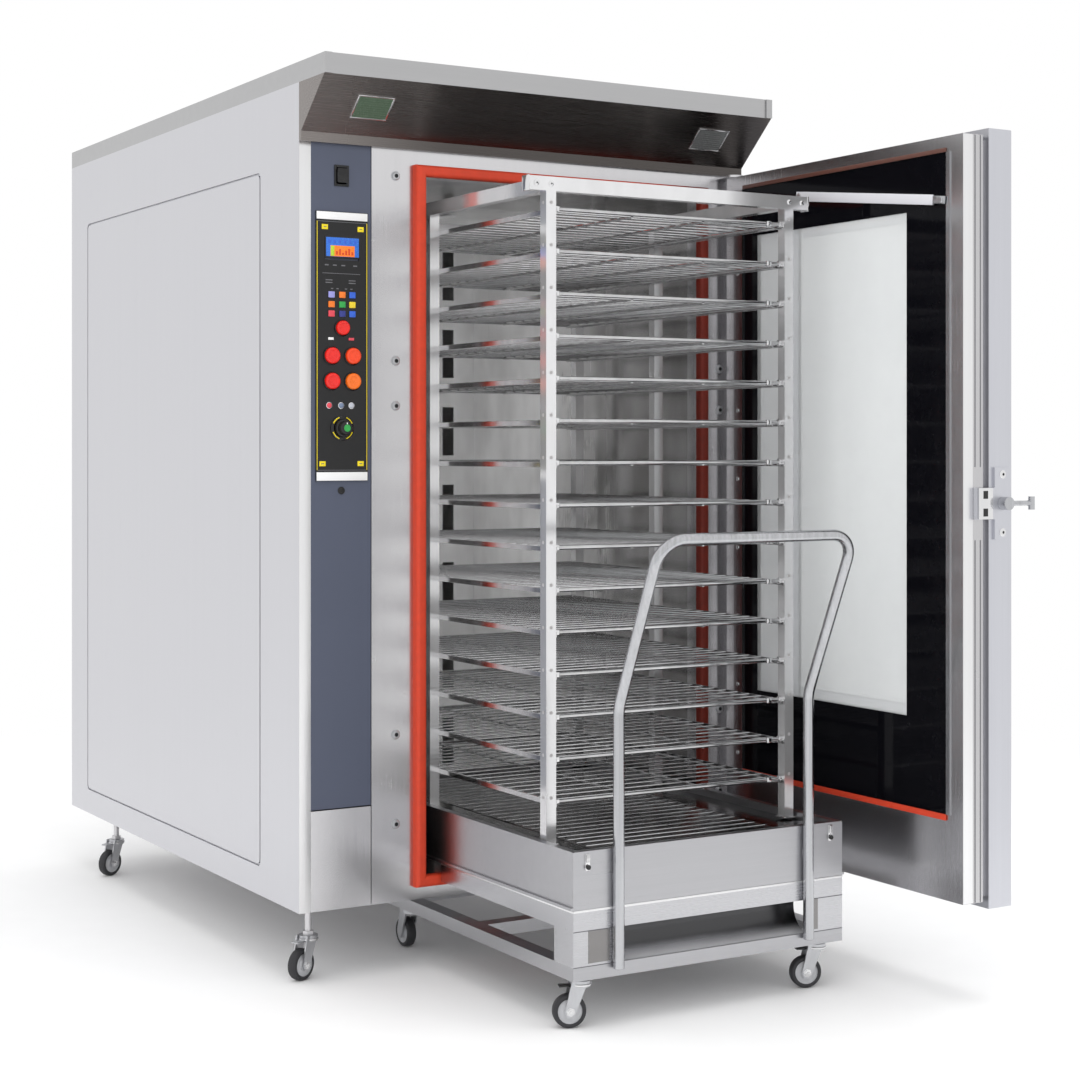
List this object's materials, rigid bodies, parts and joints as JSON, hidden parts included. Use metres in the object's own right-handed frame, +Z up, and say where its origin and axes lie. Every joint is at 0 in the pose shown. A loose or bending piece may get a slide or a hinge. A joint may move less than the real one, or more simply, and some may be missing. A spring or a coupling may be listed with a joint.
{
  "type": "rack convection oven with loading cart",
  "caption": "Floor-standing rack convection oven on casters with a glazed side-hinged door, control column and hood, and a loading cart that slides a shelf rack into the chamber.",
  "frame": {"origin": "on the floor under the middle of the cabinet", "axes": "+Z up, +Y from the doorway into the oven, +X to the right for a person facing the doorway"},
  "size_m": [1.4095, 2.6583, 2.258],
  "materials": {
    "side_steel": "pale satin stainless steel",
    "front_steel": "brushed stainless steel",
    "hood_steel": "polished stainless steel",
    "liner_steel": "heat-stained stainless steel",
    "frame_steel": "dark painted steel",
    "column_paint": "blue-grey satin paint",
    "fascia_black": "black overlay with yellow lines",
    "key_plastic": "coloured keys and screen",
    "button_red": "lit red",
    "button_orange": "lit orange",
    "ring_yellow": "yellow",
    "knob_black": "black",
    "lamp_glass": "frosted lens",
    "silicone": "red-orange silicone",
    "door_steel": "brushed stainless steel",
    "glass": "glass with a black printed border",
    "bright": "bright polished steel",
    "wire": "bright steel wire",
    "heater": "dark oxidised steel",
    "motor": "grey paint",
    "fan": "bare sheet",
    "zinc": "zinc plate",
    "tyre": "black rubber with a grey hub"
  },
  "bodies": {
    "cabinet": {"base_frame": "frame_steel", "left_side_panel": "side_steel", "access_panel": "side_steel", "right_side_panel": "side_steel", "back_panel": "side_steel", "roof_panel": "front_steel", "hood_canopy": "hood_steel", "hood_lamps": "lamp_glass", "front_frame": "front_steel", "opening_gasket": "silicone", "chamber_liner": "liner_steel", "rear_baffle": "liner_steel", "heating_elements": "heater", "fan_motor": "motor", "flue_spigot": "front_steel", "control_column": "column_paint", "kick_cover": "front_steel", "control_fascia": "fascia_black", "keypad_display": "key_plastic", "selector_ring": "ring_yellow", "hinge_brackets": "bright"},
    "door": {"door_plug": "door_steel", "door_slab": "door_steel", "door_glass": "glass", "door_seal": "silicone", "glass_trim": "bright", "latch_plate": "bright"},
    "cart": {"cart_chassis": "front_steel", "cart_rim": "front_steel", "drip_pan": "liner_steel", "push_handle": "bright", "cart_rear_forks": "zinc"},
    "rack": {"base_box": "front_steel", "base_grid": "wire", "rack_frame": "bright", "wire_shelves": "wire", "rack_locks": "knob_black"},
    "latch": {"latch_lever": "bright"},
    "fan": {"fan_impeller": "fan"},
    "selector": {"selector_knob": "knob_black"},
    "rocker": {"rocker_switch": "knob_black"},
    "start_button": {"start_button": "button_red"},
    "round_button_1": {"round_button_1": "button_red"},
    "round_button_2": {"round_button_2": "button_orange"},
    "round_button_3": {"round_button_3": "button_red"},
    "round_button_4": {"round_button_4": "button_orange"},
    "oven_fork_front_left": {"oven_fork_front_left": "zinc"},
    "oven_wheel_front_left": {"oven_wheel_front_left": "tyre"},
    "oven_fork_front_right": {"oven_fork_front_right": "zinc"},
    "oven_wheel_front_right": {"oven_wheel_front_right": "tyre"},
    "oven_fork_rear_left": {"oven_fork_rear_left": "zinc"},
    "oven_wheel_rear_left": {"oven_wheel_rear_left": "tyre"},
    "oven_fork_rear_right": {"oven_fork_rear_right": "zinc"},
    "oven_wheel_rear_right": {"oven_wheel_rear_right": "tyre"},
    "cart_fork_front_left": {"cart_fork_front_left": "zinc"},
    "cart_wheel_front_left": {"cart_wheel_front_left": "tyre"},
    "cart_fork_front_right": {"cart_fork_front_right": "zinc"},
    "cart_wheel_front_right": {"cart_wheel_front_right": "tyre"},
    "cart_wheel_rear_left": {"cart_wheel_rear_left": "tyre"},
    "cart_wheel_rear_right": {"cart_wheel_rear_right": "tyre"}
  },
  "joints": [
    {"name": "door_swing", "type": "hinge", "parent": "cabinet", "child": "door", "pos_m": [0.592, -0.888, 0], "axis": [0, 0, 1], "range_deg": [-5, 18]},
    {"name": "cart_roll", "type": "slide", "parent": "cabinet", "child": "cart", "axis": [0, 1, 0], "range_m": [-1.2, 0]},
    {"name": "rack_slide", "type": "slide", "parent": "cart", "child": "rack", "axis": [0, 1, 0], "range_m": [0, 0.66]},
    {"name": "latch_turn", "type": "hinge", "parent": "door", "child": "latch", "pos_m": [0.689, -1.786, 1.14], "axis": [0, 1, 0], "range_deg": [-80, 0]},
    {"name": "fan_spin", "type": "hinge", "parent": "cabinet", "child": "fan", "pos_m": [0.094, 0.581, 1.13], "axis": [0, 1, 0], "continuous": true},
    {"name": "selector_turn", "type": "hinge", "parent": "cabinet", "child": "selector", "pos_m": [-0.526, -0.85, 1.313], "axis": [0, 1, 0], "range_deg": [-60, 60]},
    {"name": "rocker_tip", "type": "hinge", "parent": "cabinet", "child": "rocker", "pos_m": [-0.526, -0.838, 1.91], "axis": [1, 0, 0], "range_deg": [-8, 8]},
    {"name": "start_button_press", "type": "slide", "parent": "cabinet", "child": "start_button", "axis": [0, 1, 0], "range_m": [0, 0.003], "stiffness_N_per_m": 500},
    {"name": "round_button_1_press", "type": "slide", "parent": "cabinet", "child": "round_button_1", "axis": [0, 1, 0], "range_m": [0, 0.003], "stiffness_N_per_m": 500},
    {"name": "round_button_2_press", "type": "slide", "parent": "cabinet", "child": "round_button_2", "axis": [0, 1, 0], "range_m": [0, 0.003], "stiffness_N_per_m": 500},
    {"name": "round_button_3_press", "type": "slide", "parent": "cabinet", "child": "round_button_3", "axis": [0, 1, 0], "range_m": [0, 0.003], "stiffness_N_per_m": 500},
    {"name": "round_button_4_press", "type": "slide", "parent": "cabinet", "child": "round_button_4", "axis": [0, 1, 0], "range_m": [0, 0.003], "stiffness_N_per_m": 500},
    {"name": "oven_swivel_front_left", "type": "hinge", "parent": "cabinet", "child": "oven_fork_front_left", "pos_m": [-0.573, -0.764, 0.104], "axis": [0, 0, 1], "continuous": true},
    {"name": "oven_wheel_spin_front_left", "type": "hinge", "parent": "oven_fork_front_left", "child": "oven_wheel_front_left", "pos_m": [-0.59656, -0.77499, 0.0375], "axis": [0.4226, -0.9063, 0], "continuous": true},
    {"name": "oven_swivel_front_right", "type": "hinge", "parent": "cabinet", "child": "oven_fork_front_right", "pos_m": [0.573, -0.764, 0.104], "axis": [0, 0, 1], "continuous": true},
    {"name": "oven_wheel_spin_front_right", "type": "hinge", "parent": "oven_fork_front_right", "child": "oven_wheel_front_right", "pos_m": [0.54944, -0.77499, 0.0375], "axis": [0.4226, -0.9063, 0], "continuous": true},
    {"name": "oven_swivel_rear_left", "type": "hinge", "parent": "cabinet", "child": "oven_fork_rear_left", "pos_m": [-0.573, 0.62, 0.104], "axis": [0, 0, 1], "continuous": true},
    {"name": "oven_wheel_spin_rear_left", "type": "hinge", "parent": "oven_fork_rear_left", "child": "oven_wheel_rear_left", "pos_m": [-0.59656, 0.60901, 0.0375], "axis": [0.4226, -0.9063, 0], "continuous": true},
    {"name": "oven_swivel_rear_right", "type": "hinge", "parent": "cabinet", "child": "oven_fork_rear_right", "pos_m": [0.573, 0.62, 0.104], "axis": [0, 0, 1], "continuous": true},
    {"name": "oven_wheel_spin_rear_right", "type": "hinge", "parent": "oven_fork_rear_right", "child": "oven_wheel_rear_right", "pos_m": [0.54944, 0.60901, 0.0375], "axis": [0.4226, -0.9063, 0], "continuous": true},
    {"name": "cart_swivel_front_left", "type": "hinge", "parent": "cart", "child": "cart_fork_front_left", "pos_m": [-0.231, -1.448, 0.104], "axis": [0, 0, 1], "continuous": true},
    {"name": "cart_wheel_spin_front_left", "type": "hinge", "parent": "cart_fork_front_left", "child": "cart_wheel_front_left", "pos_m": [-0.25543, -1.43911, 0.0375], "axis": [-0.342, -0.9397, 0], "continuous": true},
    {"name": "cart_swivel_front_right", "type": "hinge", "parent": "cart", "child": "cart_fork_front_right", "pos_m": [0.419, -1.448, 0.104], "axis": [0, 0, 1], "continuous": true},
    {"name": "cart_wheel_spin_front_right", "type": "hinge", "parent": "cart_fork_front_right", "child": "cart_wheel_front_right", "pos_m": [0.39457, -1.43911, 0.0375], "axis": [-0.342, -0.9397, 0], "continuous": true},
    {"name": "cart_wheel_spin_rear_left", "type": "hinge", "parent": "cart", "child": "cart_wheel_rear_left", "pos_m": [-0.231, -0.606, 0.0375], "axis": [-1, 0, 0], "continuous": true},
    {"name": "cart_wheel_spin_rear_right", "type": "hinge", "parent": "cart", "child": "cart_wheel_rear_right", "pos_m": [0.419, -0.606, 0.0375], "axis": [-1, 0, 0], "continuous": true}
  ]
}
